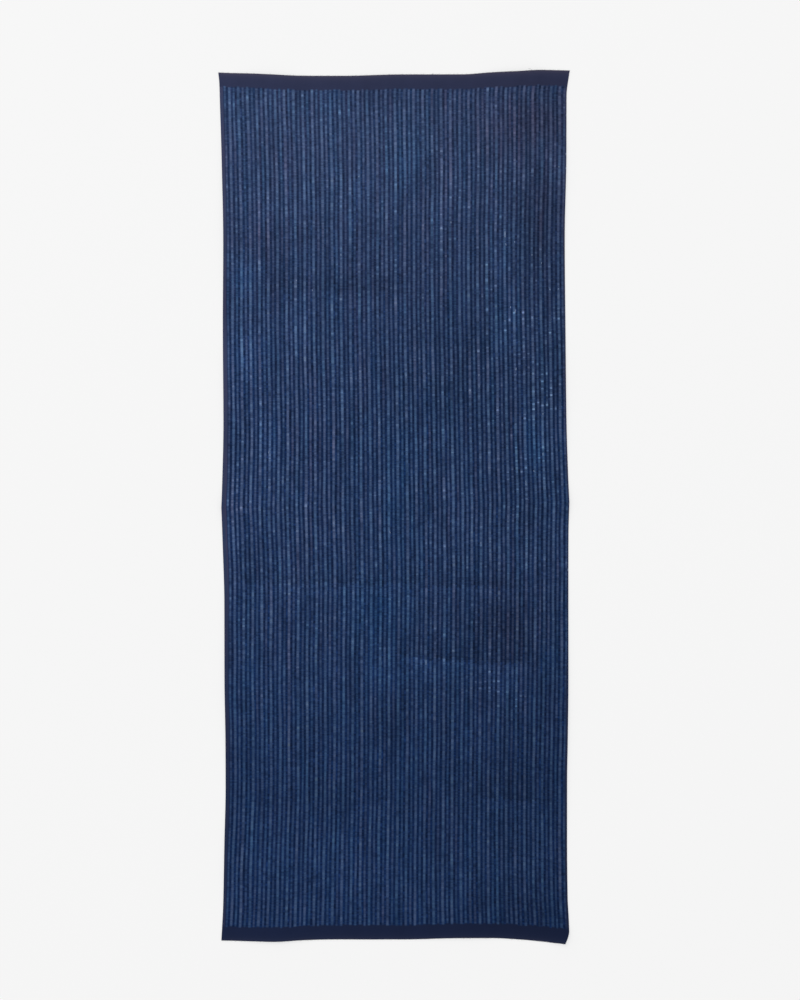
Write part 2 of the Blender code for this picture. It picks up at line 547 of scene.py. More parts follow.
# The finish that the cloth and its threads share: dull, with a faint sheen of fibres.
COTTON_FINISH = {
    "Roughness": 0.95,
    "Specular IOR Level": 0.05,
    "Sheen Weight": 0.04,
    "Sheen Roughness": 0.6,
    "Sheen Tint": (0.55, 0.62, 0.80, 1.0),
}

# The loose threads' dye and the slubs', which has blue left in its hollows. Their fibres are
# so wide and long, and their relief has this depth in metres and this strength.
THREAD_COLOUR = (0.0360, 0.0460, 0.1050)
THREAD_MOTTLE = Mottle(2.3, 2.3, 1.2)
THREAD_CLOUDS = Mottle(30.0, 30.0, 0.5)
THREAD_FIBRES = (0.12, 0.4)
THREAD_RELIEF = (0.00004, 0.4)
PALE_COTTON = (0.31, 0.41, 0.60)
SLUB_DYE = Mottle(0.5, 0.9, 1.4)
SLUB_DYE_LEVEL = 0.12
SLUB_DYE_DETAIL = 2.0
SLUB_FIBRES = (0.15, 0.5)
SLUB_RELIEF = (0.00005, 0.5)

# Where the faces and the edges lie on the square map that finishes are baked to, in shares
# of its side. MAP_LENGTH is the length of cloth, in millimetres, that spans the map.
MAP_LENGTH = 925.0
MAP_MARGIN = 0.01
MAP_MIDDLE_ALONG = 453.0
MAP_MIDDLE_ACROSS = 183.0
MAP_LEFT_OF = {"upper": 0.01, "lower": 0.43}
MAP_EDGE_STRIPS = {"left": 0.86, "right": 0.90, "foot": 0.94, "head": 0.97}
MAP_STRIP_WIDTH = 0.006

# The floor and the light.
FLOOR_REACH_M = 9.0
FLOOR_DROP_M = 0.0002
FLOOR_FINISH = {
    "Base Color": (0.35, 0.35, 0.35, 1.0),
    "Roughness": 1.0,
    "Specular IOR Level": 0.0,
    "Emission Color": (1.0, 1.0, 1.0, 1.0),
    "Emission Strength": 0.644,
}
SKY_STRENGTH = 0.66
KEY_PLACE_M = (-1.4, 2.4, 3.8)
KEY_SIZE_M = 2.4
KEY_WATTS = 38.0

# The colour mix node's sockets, by number: its share and two colours, and what comes out.
MIX_SHARE, MIX_FIRST, MIX_SECOND, MIX_RESULT = 0, 6, 7, 2


def smooth_step(low, high, value):
    share = min(max((value - low) / (high - low), 0.0), 1.0)
    return share * share * (3.0 - 2.0 * share)


def knot_slope(before, after):
    """The slope at a knot between two chords: level at a peak, so the curve never overshoots."""
    if before * after <= 0.0:
        return 0.0
    return 2.0 * before * after / (before + after)


def smooth_curve(knots):
    """A function that runs smoothly through (place, height) knots, in any order."""
    places, heights = zip(*sorted(knots))
    last = len(places) - 2
    chords = [(heights[i + 1] - heights[i]) / (places[i + 1] - places[i]) for i in range(last + 1)]
    inner = [knot_slope(before, after) for before, after in zip(chords, chords[1:])]
    slopes = [chords[0], *inner, chords[-1]]

    def height_at(place):
        i = min(max(bisect_right(places, place) - 1, 0), last)
        span = places[i + 1] - places[i]
        t = min(max((place - places[i]) / span, 0.0), 1.0)
        rise = t * t * (3.0 - 2.0 * t)
        lean_out = t * (1.0 - t) ** 2 * slopes[i]
        lean_in = t * t * (t - 1.0) * slopes[i + 1]
        return heights[i] + (heights[i + 1] - heights[i]) * rise + span * (lean_out + lean_in)

    return height_at


def selvedge(column):
    """A selvedge's place by the distance from the fold, one smooth curve on each side of it."""
    above = smooth_curve([(row.along, getattr(row, column)) for row in SIDES if row.along >= 0.0])
    below = smooth_curve([(row.along, getattr(row, column)) for row in SIDES if row.along <= 0.0])
    return lambda along: above(along) if along >= 0.0 else below(along)


LEFT_EDGE = selvedge("left")
RIGHT_EDGE = selvedge("right")
TOP_EDGE = smooth_curve([(row.across, row.top) for row in ENDS])
BOTTOM_EDGE = smooth_curve([(row.across, row.bottom) for row in ENDS])
HALF_WIDTH = RIGHT_EDGE(0.0)
# Painted light and sheen: how much paler the cloth is painted towards its head end, where the light
# falls.
LINE_PAINTED_LIGHT_AT = smooth_curve(LINE_PAINTED_LIGHT)
GROUND_PAINTED_LIGHT_AT = smooth_curve(GROUND_PAINTED_LIGHT)
DRIFT_LEFT = smooth_curve([(row.along, row.left) for row in DRIFTS])
DRIFT_MIDDLE = smooth_curve([(row.along, row.middle) for row in DRIFTS])
DRIFT_RIGHT = smooth_curve([(row.along, row.right) for row in DRIFTS])
SWAY = smooth_curve(WARP_SWAY)


def fold_line(side):
    """How far along the fold lies, from side -1 at the left selvedge to 1 at the right."""
    return FOLD_AT_LEFT + (FOLD_AT_RIGHT - FOLD_AT_LEFT) * (side + 1.0) / 2.0


def crowded(share):
    """Shares of a half's length, with the rows closer at the fold and at the cut end."""
    eased = (1.0 - math.cos(math.pi * share)) / 2.0
    return share + (eased - share) * ROW_CROWDING


def outline_place(side, end):
    """Across and along, for side -1 to 1 between the selvedges and end -1 to 1 between the ends."""
    edge = TOP_EDGE if end >= 0.0 else BOTTOM_EDGE
    fold = fold_line(side)
    from_fold = (edge(side * HALF_WIDTH) - fold) * crowded(abs(end))
    left = LEFT_EDGE(from_fold)
    right = RIGHT_EDGE(from_fold)
    return left + (right - left) * (side + 1.0) / 2.0, fold + from_fold


def fold_ridge(across, along):
    """The pressed fold stands as a low crisp ridge, a little uneven from side to side."""
    away = abs(along - fold_line(across / HALF_WIDTH)) / FOLD_REACH
    if away >= 1.0:
        return 0.0
    wander = 1.0 + FOLD_WANDER * math.sin(across * 2.0 * math.pi / FOLD_WANDER_LENGTH)
    return FOLD_HEIGHT * wander * (1.0 - away) ** 2


def swell_height(swell, across, along):
    """A round-topped bump that meets the flat cloth level at its reach."""
    off_across = (across - swell.across) / swell.reach_across
    off_along = (along - swell.along) / swell.reach_along
    away = off_across * off_across + off_along * off_along
    if away >= 1.0:
        return 0.0
    return swell.height * (1.0 - away) ** 2


def lie(across, along):
    """How far the solid's underside stands off the surface."""
    swells = sum(swell_height(swell, across, along) for swell in SWELLS.values())
    return fold_ridge(across, along) + swells


def soft_noise(x, y, layer):
    """Smooth noise from 0 to 1, the same each run."""
    return 0.5 + 0.5 * noise.noise(Vector((x, y, layer)))


def creases(across, along):
    """The faint creases' height, each a little wavy and broken."""
    height = 0.0
    for number, crease in enumerate(CREASES):
        bend = soft_noise(across / CREASE_BEND_LENGTH, 0.0, CREASE_BEND_LAYER + number) - 0.5
        away = abs(along - (crease.along + CREASE_BEND * bend)) / crease.reach
        if away < 1.0:
            strength = soft_noise(across / CREASE_BREAK_LENGTH, 0.0, CREASE_BREAK_LAYER + number)
            height += crease.height * strength * (1.0 - away) ** 2
    return height


def from_selvedge(side):
    return (1.0 - abs(side)) * WOVEN_WIDTH / 2.0


def puckers(side, along):
    """Small waves where the selvedge's tighter yarns gather the cloth."""
    inward = from_selvedge(side)
    if inward >= PUCKER_REACH:
        return 0.0
    wave = soft_noise(along / PUCKER_LENGTH, math.copysign(PUCKER_ROW, side), PUCKER_LAYER)
    return PUCKER_HEIGHT * wave * (1.0 - inward / PUCKER_REACH)


def fine_lie(side, across, along):
    """The solid's lie, with the small folds and waves that the thin sheet has besides."""
    noise_there = soft_noise(across / RUMPLE_LENGTH, along / RUMPLE_LENGTH, RUMPLE_LAYER)
    rumple = RUMPLE_HEIGHT * noise_there ** 2
    return lie(across, along) + rumple + creases(across, along) + puckers(side, along)


def thickness_at(side):
    """The sheet is a little thicker along its selvedges, where the weft turns back."""
    return THICKNESS + SELVEDGE_SWELL * (1.0 - smooth_step(0.0, SELVEDGE_WIDTH, from_selvedge(side)))


def sideways_drift(side, along):
    """How far the warp is drawn to the right there, a parabola through the three columns."""
    left, middle, right = DRIFT_LEFT(along), DRIFT_MIDDLE(along), DRIFT_RIGHT(along)
    lean = (right - left) / 2.0
    bow = (right + left) / 2.0 - middle
    return middle + lean * side + bow * side * side + SWAY(side)


def woven_place(side, end, along):
    """Where a point is on the cloth as woven: across from the left selvedge, along from the foot."""
    across = (side + 1.0) / 2.0 * WOVEN_WIDTH - sideways_drift(side, along)
    half = WOVEN_LENGTH / 2.0
    return across, half + math.copysign(half * crowded(abs(end)), end)


def patch_share(patch, across, along):
    off_across = (across - patch.across) / patch.reach_across
    off_along = (along - patch.along) / patch.reach_along
    return math.exp(-(off_across * off_across + off_along * off_along))


def dye_tone(across, along):
    slope = -PALER_LEFT * across / HALF_WIDTH
    return slope + sum(patch.tone * patch_share(patch, across, along) for patch in PATCHES)


def dye_hue(across, along):
    return sum(patch.hue * patch_share(patch, across, along) for patch in PATCHES)


def sparks_at(across, along):
    """How many sparks there are there, from 0 to about 1."""
    common = SPARKS_EVERYWHERE + SPARKS_ABOVE * smooth_step(*SPARKS_START, along)
    return common + sum(patch.amount * patch_share(patch, across, along) for patch in SPARK_PATCHES)


def nearest_lap(across, along):
    """How far above the nearest lap line the point is, and how strongly the lap shows there."""
    offsets = []
    for lap in LAPS:
        slope = (lap.right_along - lap.left_along) / (lap.right - lap.left)
        offsets.append((along - lap.left_along - slope * (across - lap.left), lap))
    off, lap = min(offsets, key=lambda pair: abs(pair[0]))
    inside = smooth_step(lap.left - LAP_WINDOW, lap.left + LAP_WINDOW, across)
    inside *= 1.0 - smooth_step(lap.right - LAP_WINDOW, lap.right + LAP_WINDOW, across)
    return off, lap.tone * inside


class Wire:
    """A number carried between a material's nodes, which ordinary sums can be written on."""

    def __init__(self, recipe, socket):
        self.recipe = recipe
        self.socket = socket

    def __add__(self, other):
        return self.recipe.math("ADD", self, other)

    def __sub__(self, other):
        return self.recipe.math("SUBTRACT", self, other)

    def __rsub__(self, other):
        return self.recipe.math("SUBTRACT", other, self)

    def __mul__(self, other):
        return self.recipe.math("MULTIPLY", self, other)

    def __truediv__(self, other):
        return self.recipe.math("DIVIDE", self, other)

    __radd__ = __add__


class Recipe:
    """Short calls for the nodes of one material."""

    def __init__(self, name):
        self.material = bpy.data.materials.new(name)
        self.material.use_nodes = True
        self.tree = self.material.node_tree
        self.shader = self.tree.nodes["Principled BSDF"]

    def feed(self, socket, value):
        if isinstance(value, Wire):
            self.tree.links.new(value.socket, socket)
        elif isinstance(value, tuple) and len(value) < len(socket.default_value):
            socket.default_value = (*value, 1.0)
        else:
            socket.default_value = value

    def set_shader(self, values):
        for name, value in values.items():
            self.shader.inputs[name].default_value = value

    def node(self, kind, **settings):
        made = self.tree.nodes.new(kind)
        for name, value in settings.items():
            setattr(made, name, value)
        return made

    def math(self, operation, *values):
        made = self.node("ShaderNodeMath", operation=operation)
        for socket, value in zip(made.inputs, values):
            self.feed(socket, value)
        return Wire(self, made.outputs[0])

    def ramp(self, value, low, high, to_low=0.0, to_high=1.0):
        """value eased from low to high onto to_low to to_high, and held level outside."""
        made = self.node("ShaderNodeMapRange", interpolation_type="SMOOTHSTEP")
        for socket, number in zip(made.inputs, (value, low, high, to_low, to_high)):
            self.feed(socket, number)
        return Wire(self, made.outputs[0])

    def place(self, x, y, z=0.0):
        made = self.node("ShaderNodeCombineXYZ")
        for socket, value in zip(made.inputs, (x, y, z)):
            self.feed(socket, value)
        return Wire(self, made.outputs[0])

    def swing(self, x, y, detail=0.0):
        """Smooth noise from -0.5 to 0.5, about one swing a unit."""
        made = self.node("ShaderNodeTexNoise", noise_dimensions="2D")
        self.feed(made.inputs["Vector"], self.place(x, y))
        made.inputs["Scale"].default_value = 1.0
        made.inputs["Detail"].default_value = detail
        return Wire(self, made.outputs["Fac"]) - 0.5

    def mottle(self, x, y, kind, detail=0.0):
        return self.swing(x / kind.across, y / kind.along, detail) * kind.amount

    def luck(self, number, seed):
        """A number from -0.5 to 0.5 that is the same wherever `number` is."""
        made = self.node("ShaderNodeTexWhiteNoise", noise_dimensions="1D")
        self.feed(made.inputs["W"], number * LUCK_STRIDE + seed)
        return Wire(self, made.outputs["Value"]) - 0.5

    def attribute(self, name):
        made = self.node("ShaderNodeAttribute", attribute_name=name)
        return Wire(self, made.outputs["Fac"])

    def in_millimetres(self, socket):
        """The first two numbers of a place that comes in metres."""
        split = self.node("ShaderNodeSeparateXYZ")
        self.tree.links.new(socket, split.inputs["Vector"])
        return Wire(self, split.outputs["X"]) * MM_PER_M, Wire(self, split.outputs["Y"]) * MM_PER_M

    def uv_place(self, name):
        return self.in_millimetres(self.node("ShaderNodeUVMap", uv_map=name).outputs["UV"])

    def object_place(self):
        return self.in_millimetres(self.node("ShaderNodeTexCoord").outputs["Object"])

    def mix(self, share, first, second):
        """first at share 0 and second at share 1, both colours, and past second beyond 1."""
        made = self.node("ShaderNodeMix", data_type="RGBA", clamp_factor=False)
        for number, value in ((MIX_SHARE, share), (MIX_FIRST, first), (MIX_SECOND, second)):
            self.feed(made.inputs[number], value)
        return Wire(self, made.outputs[MIX_RESULT])

    def times(self, colour, red, green, blue):
        made = self.node("ShaderNodeVectorMath", operation="MULTIPLY")
        self.feed(made.inputs[0], colour)
        self.feed(made.inputs[1], self.place(red, green, blue))
        return Wire(self, made.outputs[0])

    def bump(self, height, distance, strength):
        made = self.node("ShaderNodeBump")
        made.inputs["Strength"].default_value = strength
        made.inputs["Distance"].default_value = distance
        self.feed(made.inputs["Height"], height)
        self.feed(self.shader.inputs["Normal"], Wire(self, made.outputs[0]))


def total(wires):
    first, *rest = wires
    for wire in rest:
        first = first + wire
    return first


def line_shape(recipe, halves, line, bead):
    """1 along a line's middle and 0 off it, times how strong that line is woven."""
    off = recipe.math("ABSOLUTE", halves - line) * HALF_REPEAT
    weak = recipe.math("MODULO", line + 2.0, 2.0)  # 1 on the odd lines, also on number -1
    half_width = STRONG_HALF_WIDTH + weak * (WEAK_HALF_WIDTH - STRONG_HALF_WIDTH)
    half_width = half_width * (1.0 + bead * LINE_BEADING)
    inside = recipe.ramp(off - half_width, -LINE_SOFTNESS / 2.0, LINE_SOFTNESS, 1.0, 0.0)
    counted = recipe.math("GREATER_THAN", line, FIRST_LINE - 0.5)
    counted = counted * recipe.math("LESS_THAN", line, LAST_LINE + 0.5)
    return inside * (1.0 + weak * (WEAK_STRENGTH - 1.0)) * counted


def between_bands(recipe, across, along, thread):
    """1 over the striped field and 0 in the plain bands, with each thread ending where it likes."""
    share = across / WOVEN_WIDTH
    foot = BOTTOM_BAND[0] + share * (BOTTOM_BAND[1] - BOTTOM_BAND[0])
    head = TOP_BAND[0] + share * (TOP_BAND[1] - TOP_BAND[0])
    ragged = recipe.luck(thread, BAND_SEED) * BAND_RAGGED
    above_foot = recipe.ramp(along - foot + ragged, -BAND_SOFTNESS, BAND_SOFTNESS)
    below_head = recipe.ramp(WOVEN_LENGTH - along - head + ragged, -BAND_SOFTNESS, BAND_SOFTNESS)
    return above_foot * below_head


def selvedge_share(recipe, across):
    left = recipe.ramp(across, LEFT_SELVEDGE - SELVEDGE_BLUR, LEFT_SELVEDGE + SELVEDGE_BLUR, 1.0, 0.0)
    start = WOVEN_WIDTH - RIGHT_SELVEDGE
    right = recipe.ramp(across, start - SELVEDGE_BLUR, start + SELVEDGE_BLUR)
    return left + right


def lap_tone(recipe, thread):
    """The laps: darker just above each line and paler just below it, ragged by thread."""
    off = recipe.attribute("lap_off") + recipe.luck(thread, LAP_SEED) * LAP_RAGGED
    fade = recipe.math("EXPONENT", recipe.math("ABSOLUTE", off) * (-1.0 / LAP_FADE))
    turn = recipe.ramp(off, -LAP_SHARPNESS, LAP_SHARPNESS, 1.0, -1.0)
    return fade * turn * recipe.attribute("lap_tone")


def frayed_sheen(recipe, along):
    """1 at the cut ends, where the loosened fibres catch the light, and 0 away from them."""
    from_end = recipe.math("MINIMUM", along, WOVEN_LENGTH - along)
    return recipe.math("EXPONENT", from_end * (-1.0 / CUT_FRAY_SHEEN_REACH))


def spark_swing(recipe, across, along, thread):
    """0 over most of the lines, and above it on the sparks."""
    clusters = recipe.swing(across / SPARK_CLUSTER[0], along / SPARK_CLUSTER[1] + CLUSTER_START)
    clusters = recipe.ramp(clusters, *CLUSTER_LEVELS, BETWEEN_CLUSTERS, 1.0) * recipe.attribute("sparks")
    peaks = recipe.swing(thread * SPARK_STRIDE, along / SPARK_LENGTH + SPARK_START) - SPARK_THRESHOLD
    return recipe.math("MAXIMUM", peaks, 0.0) * SPARK_GAIN * clusters


def line_fade(recipe, along):
    """The lines are a little weaker where they start beside the bands."""
    from_end = recipe.math("MINIMUM", along - BOTTOM_BAND[0], WOVEN_LENGTH - TOP_BAND[0] - along)
    return 1.0 - recipe.math("EXPONENT", from_end * (-1.0 / LINE_FADE_REACH)) * LINE_FADE


def striped_cotton():
    """Indigo cotton with pale woven lines, dyed by hand so that no part of it is quite even."""
    recipe = Recipe("striped_cotton")
    straight, along = recipe.uv_place("Cloth")
    across = straight + recipe.mottle(straight, along, YARN_WANDER)
    yarn = recipe.math("FLOOR", across / WARP_PITCH)
    halves = ((yarn + 0.5) * WARP_PITCH - FIRST_STRONG) / HALF_REPEAT
    line = recipe.math("ROUND", halves)
    thread = recipe.math("ROUND", halves * 2.0)

    swings = [recipe.swing(thread * row.stride, along / row.length) for row in TONE_SWINGS]
    fortune = recipe.luck(thread, TONE_SEED) * THREAD_LUCK
    on_lines = total([swing * row.lines for swing, row in zip(swings, TONE_SWINGS)]) + fortune
    on_lines = on_lines + spark_swing(recipe, across, along, thread)
    on_ground = total([swing * row.ground for swing, row in zip(swings, TONE_SWINGS)]) + fortune
    weave = recipe.math("SINE", across * (math.pi / WARP_PITCH))
    weave = weave * recipe.math("SINE", along * (math.pi / WEFT_PITCH))
    lines = line_shape(recipe, halves, line, swings[2]) * recipe.math("EXPONENT", on_lines)
    lines = lines * (1.0 + weave * WEAVE_IN_LINES) * line_fade(recipe, along)

    # Painted light and sheen: the lines, ground, bands and selvedges are painted paler towards the head
    # end.
    line_painted_light = recipe.attribute("line_painted_light")
    ground_painted_light = recipe.attribute("ground_painted_light")
    field = between_bands(recipe, across, along, thread)
    ground = recipe.mix(ground_painted_light, GROUND_FOOT, GROUND_HEAD)
    ground_tone = recipe.math("EXPONENT", on_ground)
    ground = recipe.times(ground, ground_tone, ground_tone, ground_tone)
    striped = recipe.mix(lines, ground, recipe.mix(line_painted_light, LINE_FOOT, LINE_HEAD))
    own = recipe.mix(line_painted_light, SELVEDGE_FOOT, SELVEDGE_HEAD)
    striped = recipe.mix(selvedge_share(recipe, across), striped, own)
    colour = recipe.mix(field, recipe.mix(ground_painted_light, BAND_FOOT, BAND_HEAD), striped)

    hues = [
        recipe.swing(thread * row.stride, along / row.length + HUE_START) * row.hue
        for row in HUE_SWINGS
    ]
    hue = (total(hues) + recipe.luck(thread, HUE_SEED) * HUE_LUCK) * field + recipe.attribute("hue")
    cloudy = recipe.mottle(across, along, CLOUDS, CLOUD_DETAIL)
    streaks = recipe.mottle(across, along, STREAKS)
    uneven = (cloudy + streaks) * (BAND_UNEVENNESS + field * (1.0 - BAND_UNEVENNESS))
    fray_sheen = frayed_sheen(recipe, along)
    # Painted sheen makes the cut ends paler, and their fibres' own tint makes them greyer.
    tone = 1.0 + recipe.attribute("tone") + lap_tone(recipe, thread) + uneven + fray_sheen * CUT_SHEEN_PALING
    tone = recipe.math("MAXIMUM", tone, DARKEST_TONE)
    red = tone * recipe.math("EXPONENT", hue + fray_sheen * CUT_REDDENING)
    blue = tone * recipe.math("EXPONENT", hue * -BLUE_SHARE - fray_sheen * CUT_REDDENING)
    colour = recipe.times(colour, red, tone, blue)

    recipe.feed(recipe.shader.inputs["Base Color"], colour)
    recipe.set_shader(COTTON_FINISH)
    ribs = recipe.math("COSINE", across * (2.0 * math.pi / WARP_PITCH)) * RIB_RELIEF
    thick_wefts = recipe.mottle(across, along, THICK_WEFTS)
    recipe.bump(weave * WEAVE_RELIEF + ribs + thick_wefts, WEAVE_DEPTH_M, WEAVE_STRENGTH)
    return recipe.material


def dyed_thread():
    """The loose yarn's own dye, paler where the cut has opened it."""
    recipe = Recipe("dyed_thread")
    x, y = recipe.object_place()
    tone = 1.0 + recipe.mottle(x, y, THREAD_MOTTLE) + recipe.mottle(x, y, THREAD_CLOUDS)
    colour = recipe.times(recipe.place(*THREAD_COLOUR), tone, tone, tone)
    recipe.feed(recipe.shader.inputs["Base Color"], colour)
    recipe.set_shader(COTTON_FINISH)
    recipe.bump(recipe.swing(x / THREAD_FIBRES[0], y / THREAD_FIBRES[1]), *THREAD_RELIEF)
    return recipe.material


def pale_cotton():
    """The slubs and knots, which took little dye: pale, with blue left in their hollows."""
    recipe = Recipe("pale_cotton")
    x, y = recipe.object_place()
    dyed = recipe.mottle(x, y, SLUB_DYE, SLUB_DYE_DETAIL) + SLUB_DYE_LEVEL
    dyed = recipe.math("MAXIMUM", dyed, 0.0)
    recipe.feed(recipe.shader.inputs["Base Color"], recipe.mix(dyed, PALE_COTTON, THREAD_COLOUR))
    recipe.set_shader(COTTON_FINISH)
    recipe.bump(recipe.swing(x / SLUB_FIBRES[0], y / SLUB_FIBRES[1]), *SLUB_RELIEF)
    return recipe.material


def sheet_points():
    """The grid of the sheet's points as (side, end, across, along): rows from the foot up."""
    points = []
    for row in range(CELLS_ALONG + 1):
        end = 2.0 * row / CELLS_ALONG - 1.0
        for column in range(CELLS_ACROSS + 1):
            side = 2.0 * column / CELLS_ACROSS - 1.0
            points.append((side, end, *outline_place(side, end)))
    return points


def cell_corners():
    """Each cell's four points, anticlockwise from the foot's left, as places in the grid's list."""
    wide = CELLS_ACROSS + 1
    for row in range(CELLS_ALONG):
        for column in range(CELLS_ACROSS):
            near_left = row * wide + column
            yield near_left, near_left + 1, near_left + wide + 1, near_left + wide


def rim_points():
    """The grid's outer points in order, anticlockwise from the foot's left."""
    wide = CELLS_ACROSS + 1
    foot = list(range(wide))
    right = [row * wide + CELLS_ACROSS for row in range(1, CELLS_ALONG + 1)]
    head = [CELLS_ALONG * wide + column for column in range(CELLS_ACROSS - 1, -1, -1)]
    left = [row * wide for row in range(CELLS_ALONG - 1, 0, -1)]
    return foot + right + head + left


def build_cloth():
    """The towel: a closed thin sheet, its two faces alike, with its edges between them."""
    points = sheet_points()
    count = len(points)
    lower = []
    upper = []
    for side, _, across, along in points:
        height = fine_lie(side, across, along)
        lower.append((across * MM, along * MM, height * MM))
        upper.append((across * MM, along * MM, (height + thickness_at(side)) * MM))

    faces = [tuple(count + corner for corner in corners) for corners in cell_corners()]
    faces += [tuple(reversed(corners)) for corners in cell_corners()]
    rim = rim_points()
    faces += [(here, there, count + there, count + here) for here, there in zip(rim, rim[1:] + rim[:1])]

    mesh = bpy.data.meshes.new("towel_cloth")
    mesh.from_pydata(lower + upper, [], faces)
    write_dye(mesh, points)
    write_cloth_map(mesh, points)
    write_bake_map(mesh, points)
    mesh.shade_smooth()
    mesh.set_sharp_from_angle(angle=math.radians(SHARP_ANGLE_DEG))
    mesh.materials.append(striped_cotton())
    return add_object("towel_cloth", mesh)


def add_object(name, data):
    made = bpy.data.objects.new(name, data)
    bpy.context.scene.collection.objects.link(made)
    return made


def write_dye(mesh, points):
    """The dye's unevenness at each point, the same on both faces because it soaks through, and the
    painted light and sheen that make the cloth paler towards its head end.
    """
    laps = [nearest_lap(across, along) for _, _, across, along in points]
    columns = {
        # The next two are painted light and sheen, paler towards the head end.
        "line_painted_light": [LINE_PAINTED_LIGHT_AT(along) for _, _, _, along in points],
        "ground_painted_light": [GROUND_PAINTED_LIGHT_AT(along) for _, _, _, along in points],
        "tone": [dye_tone(across, along) for _, _, across, along in points],
        "hue": [dye_hue(across, along) for _, _, across, along in points],
        "sparks": [sparks_at(across, along) for _, _, across, along in points],
        "lap_off": [off for off, _ in laps],
        "lap_tone": [tone for _, tone in laps],
    }
    for name, values in columns.items():
        attribute = mesh.attributes.new(name, "FLOAT", "POINT")
        attribute.data.foreach_set("value", values * 2)


def write_cloth_map(mesh, points):
    """Each point's place on the cloth as woven, in metres."""
    layer = mesh.uv_layers.new(name="Cloth")
    woven = [woven_place(side, end, along) for side, end, _, along in points]
    for loop in mesh.loops:
        across, along = woven[loop.vertex_index % len(points)]
        layer.uv[loop.index].vector = (across * MM, along * MM)


def map_height(along):
    return MAP_MARGIN + (along + MAP_MIDDLE_ALONG) / MAP_LENGTH


def edge_strip(places):
    """Which of the four edges a face of the rim is on."""
    sides = [side for side, _, _, _ in places]
    if max(sides) == min(sides):
        return "left" if sides[0] < 0.0 else "right"
    return "foot" if places[0][3] < 0.0 else "head"


def write_bake_map(mesh, points):
    """Both faces side by side on one square map, and the narrow edges in strips beside them."""
    layer = mesh.uv_layers.new(name="OFBake")
    count = len(points)
    for polygon in mesh.polygons:
        corners = list(polygon.vertices)
        upper = [corner >= count for corner in corners]
        places = [points[corner % count] for corner in corners]
        on_rim = any(upper) and not all(upper)
        strip = edge_strip(places) if on_rim else None
        for loop, is_upper, (_, _, across, along) in zip(polygon.loop_indices, upper, places):
            if not on_rim:
                left = MAP_LEFT_OF["upper" if is_upper else "lower"]
                spot = (left + (across + MAP_MIDDLE_ACROSS) / MAP_LENGTH, map_height(along))
            else:
                run = along if strip in ("left", "right") else across
                spot = (MAP_EDGE_STRIPS[strip] + MAP_STRIP_WIDTH * is_upper, map_height(run))
            layer.uv[loop].vector = spot


class ThreadSpinner:
    """Gathers swept threads into one mesh."""

    def __init__(self, sides):
        self.sides = sides
        self.points = []
        self.faces = []

    def spin(self, places, radii):
        """A closed thread through the places, in millimetres, with a radius at each."""
        places = [Vector(place) for place in places]
        start = len(self.points)
        for number, (place, radius) in enumerate(zip(places, radii)):
            ahead = places[min(number + 1, len(places) - 1)] - places[max(number - 1, 0)]
            ahead.normalize()
            sideways = ahead.cross(Vector((0.0, 0.0, 1.0))).normalized()
            upwards = sideways.cross(ahead)
            for turn in range(self.sides):
                angle = 2.0 * math.pi * turn / self.sides
                off = (sideways * math.cos(angle) + upwards * math.sin(angle)) * radius
                self.points.append((place + off) * MM)
        for number in range(len(places) - 1):
            here = start + number * self.sides
            for turn in range(self.sides):
                a = here + turn
                b = here + (turn + 1) % self.sides
                self.faces.append((a, a + self.sides, b + self.sides, b))
        self.faces.append(tuple(start + turn for turn in range(self.sides)))
        last = start + (len(places) - 1) * self.sides
        self.faces.append(tuple(last + turn for turn in reversed(range(self.sides))))

    def mesh(self, name, material):
        mesh = bpy.data.meshes.new(name)
        mesh.from_pydata(self.points, [], self.faces)
        mesh.shade_smooth()
        mesh.materials.append(material)
        return mesh


def cloth_top(across, along):
    """The height of the cloth's upper face near a place."""
    side = max(-1.0, min(1.0, across / HALF_WIDTH))
    return fine_lie(side, across, along) + THICKNESS


def middle_of_edge(side, end):
    """The cut edge's place, with the height of the middle of the sheet's thickness."""
    across, along = outline_place(side, end)
    return across, along, fine_lie(side, across, along) + THICKNESS / 2.0


def spin_fringe(spinner, draw):
    """The warp's cut ends, one stub for each yarn along both ends of the cloth."""
    yarns = int(WOVEN_WIDTH / WARP_PITCH)
    for end in (1.0, -1.0):
        for number in range(yarns):
            side = (number + 0.5) / yarns * 2.0 - 1.0
            across, along, height = middle_of_edge(side, end)
            length = draw.uniform(FRINGE_SHORTEST, FRINGE_LONGEST)
            length *= draw.uniform(FRINGE_SHORT_SHARE, 1.0)
            splay = draw.uniform(-FRINGE_SPLAY, FRINGE_SPLAY) * length
            droop = draw.uniform(*FRINGE_DROOP)
            bent = across + splay * FRINGE_SPLAY_HALFWAY
            places = (
                (across, along - end * FRINGE_ROOT, height),
                (bent, along + end * length / 2.0, height + droop / 2.0),
                (across + splay, along + end * length, height + droop),
            )
            spinner.spin(places, [YARN_RADIUS * share for share in FRINGE_TAPER])


def spin_slipped_wefts(spinner, draw):
    """Weft yarns half off the cut ends, in low bows along the edge."""
    for weft in SLIPPED_WEFTS:
        steps = int((weft.stop - weft.start) / SLIPPED_STEP)
        places = []
        for step in range(steps + 1):
            share = step / steps
            across = weft.start + (weft.stop - weft.start) * share
            spot_across, along, height = middle_of_edge(across / HALF_WIDTH, float(weft.end))
            bow = weft.bow * math.sin(math.pi * share) * draw.uniform(*SLIPPED_UNEVENNESS)
            out = bow - SLIPPED_INSIDE
            places.append((spot_across, along + weft.end * out, height + THICKNESS / 2.0 + SLIPPED_LIFT))
        spinner.spin(places, [YARN_RADIUS * SLIPPED_FULLNESS] * len(places))


def spin_loose_threads(spinner):
    for thread in LOOSE_THREADS.values():
        radii = [thread.radius] * (len(thread.places) - 1) + [thread.radius * LOOSE_TIP]
        spinner.spin(thread.places, radii)


